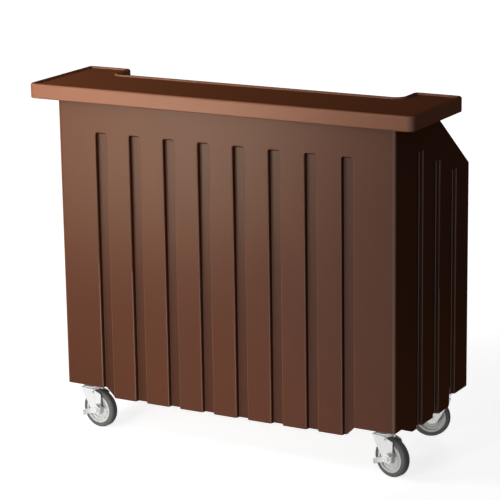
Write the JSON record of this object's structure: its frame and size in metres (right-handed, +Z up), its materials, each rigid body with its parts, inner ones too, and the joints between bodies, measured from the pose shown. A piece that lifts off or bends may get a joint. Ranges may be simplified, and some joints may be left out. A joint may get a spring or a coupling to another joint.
{
  "type": "portable bar",
  "caption": "Rolling portable bar with a grooved dark moulded cabinet, a rimmed U-shaped top, an insulated ice bin with sliding covers, a speed rail, a shelf and swivel casters.",
  "frame": {"origin": "on the floor under the middle of the bounding box", "axes": "+X along the bar to the guests' right, +Y from the guests' side to the server's side, +Z up"},
  "size_m": [1.372, 0.676, 1.173],
  "materials": {
    "moulded_body": "satin moulded",
    "moulded_top": "satin moulded",
    "zinc_plate": "bright zinc plate",
    "stainless": "brushed",
    "bin_liner": "smooth moulded",
    "bin_jacket": "satin moulded",
    "foam": "rigid foam",
    "cover_rail": "extruded",
    "bin_cover": "satin moulded",
    "drain_plastic": "moulded",
    "valve_brass": "machined",
    "lever_steel": "dipped",
    "wheel_core": "moulded",
    "tyre": "moulded rubber"
  },
  "bodies": {
    "cabinet": {"cabinet_shell": "moulded_body", "bar_top": "moulded_top", "top_brackets": "zinc_plate", "bracket_screws": "stainless", "ice_bin_liner": "bin_liner", "ice_bin_foam": "foam", "ice_bin_jacket": "bin_jacket", "cover_rails": "cover_rail", "cover_stops": "cover_rail", "drain_flange": "stainless", "drain_strainer": "stainless", "drain_locknut": "drain_plastic", "drain_elbow": "drain_plastic", "drain_valve_body": "valve_brass", "rail_hangers": "stainless", "hanger_screws": "stainless", "caster_inserts": "valve_brass", "caster_bolts": "zinc_plate", "caster_plate_front_left": "zinc_plate", "swivel_race_front_left": "zinc_plate", "kingpin_front_left": "zinc_plate", "caster_plate_front_right": "zinc_plate", "swivel_race_front_right": "zinc_plate", "kingpin_front_right": "zinc_plate", "caster_plate_rear_left": "zinc_plate", "swivel_race_rear_left": "zinc_plate", "kingpin_rear_left": "zinc_plate", "caster_plate_rear_right": "zinc_plate", "swivel_race_rear_right": "zinc_plate", "kingpin_rear_right": "zinc_plate"},
    "cover_left": {"bin_cover_left": "bin_cover"},
    "cover_right": {"bin_cover_right": "bin_cover"},
    "drain_lever": {"drain_lever": "lever_steel"},
    "speed_rail": {"speed_rail": "stainless"},
    "shelf": {"storage_shelf": "moulded_body"},
    "caster_front_left": {"fork_front_left": "zinc_plate", "axle_front_left": "zinc_plate", "sleeve_front_left": "zinc_plate"},
    "wheel_front_left": {"wheel_core_front_left": "wheel_core", "tyre_front_left": "tyre"},
    "brake_front_left": {"brake_lever_front_left": "zinc_plate"},
    "caster_front_right": {"fork_front_right": "zinc_plate", "axle_front_right": "zinc_plate", "sleeve_front_right": "zinc_plate"},
    "wheel_front_right": {"wheel_core_front_right": "wheel_core", "tyre_front_right": "tyre"},
    "brake_front_right": {"brake_lever_front_right": "zinc_plate"},
    "caster_rear_left": {"fork_rear_left": "zinc_plate", "axle_rear_left": "zinc_plate", "sleeve_rear_left": "zinc_plate"},
    "wheel_rear_left": {"wheel_core_rear_left": "wheel_core", "tyre_rear_left": "tyre"},
    "caster_rear_right": {"fork_rear_right": "zinc_plate", "axle_rear_right": "zinc_plate", "sleeve_rear_right": "zinc_plate"},
    "wheel_rear_right": {"wheel_core_rear_right": "wheel_core", "tyre_rear_right": "tyre"}
  },
  "joints": [
    {"name": "cover_left_slide", "type": "slide", "parent": "cabinet", "child": "cover_left", "axis": [1, 0, 0], "range_m": [0, 0.297]},
    {"name": "cover_right_slide", "type": "slide", "parent": "cabinet", "child": "cover_right", "axis": [-1, 0, 0], "range_m": [0, 0.297]},
    {"name": "drain_lever_turn", "type": "hinge", "parent": "cabinet", "child": "drain_lever", "pos_m": [0, 0.2365, 0.4445], "axis": [0, 0, 1], "range_deg": [0, 90]},
    {"name": "speed_rail_lift", "type": "slide", "parent": "cabinet", "child": "speed_rail", "axis": [0, 0, 1], "range_m": [0, 0.06]},
    {"name": "shelf_slide", "type": "slide", "parent": "cabinet", "child": "shelf", "axis": [0, 1, 0], "range_m": [0, 0.3]},
    {"name": "swivel_front_left", "type": "hinge", "parent": "cabinet", "child": "caster_front_left", "pos_m": [-0.5445, -0.2375, 0.139], "axis": [0, 0, 1], "continuous": true},
    {"name": "spin_front_left", "type": "hinge", "parent": "caster_front_left", "child": "wheel_front_left", "pos_m": [-0.50877, -0.24189, 0.0635], "axis": [0.1219, 0.9925, 0], "continuous": true},
    {"name": "brake_front_left", "type": "hinge", "parent": "caster_front_left", "child": "brake_front_left", "pos_m": [-0.50877, -0.24189, 0.0635], "axis": [0.1219, 0.9925, 0], "range_deg": [-25, 0]},
    {"name": "swivel_front_right", "type": "hinge", "parent": "cabinet", "child": "caster_front_right", "pos_m": [0.5445, -0.2375, 0.139], "axis": [0, 0, 1], "continuous": true},
    {"name": "spin_front_right", "type": "hinge", "parent": "caster_front_right", "child": "wheel_front_right", "pos_m": [0.5791, -0.24742, 0.0635], "axis": [0.2756, 0.9613, 0], "continuous": true},
    {"name": "brake_front_right", "type": "hinge", "parent": "caster_front_right", "child": "brake_front_right", "pos_m": [0.5791, -0.24742, 0.0635], "axis": [0.2756, 0.9613, 0], "range_deg": [-25, 0]},
    {"name": "swivel_rear_left", "type": "hinge", "parent": "cabinet", "child": "caster_rear_left", "pos_m": [-0.5565, 0.1805, 0.139], "axis": [0, 0, 1], "continuous": true},
    {"name": "spin_rear_left", "type": "hinge", "parent": "caster_rear_left", "child": "wheel_rear_left", "pos_m": [-0.59171, 0.18799, 0.0635], "axis": [-0.2079, -0.9781, 0], "continuous": true},
    {"name": "swivel_rear_right", "type": "hinge", "parent": "cabinet", "child": "caster_rear_right", "pos_m": [0.5565, 0.1805, 0.139], "axis": [0, 0, 1], "continuous": true},
    {"name": "spin_rear_right", "type": "hinge", "parent": "caster_rear_right", "child": "wheel_rear_right", "pos_m": [0.52414, 0.16472, 0.0635], "axis": [0.4384, -0.8988, 0], "continuous": true}
  ]
}
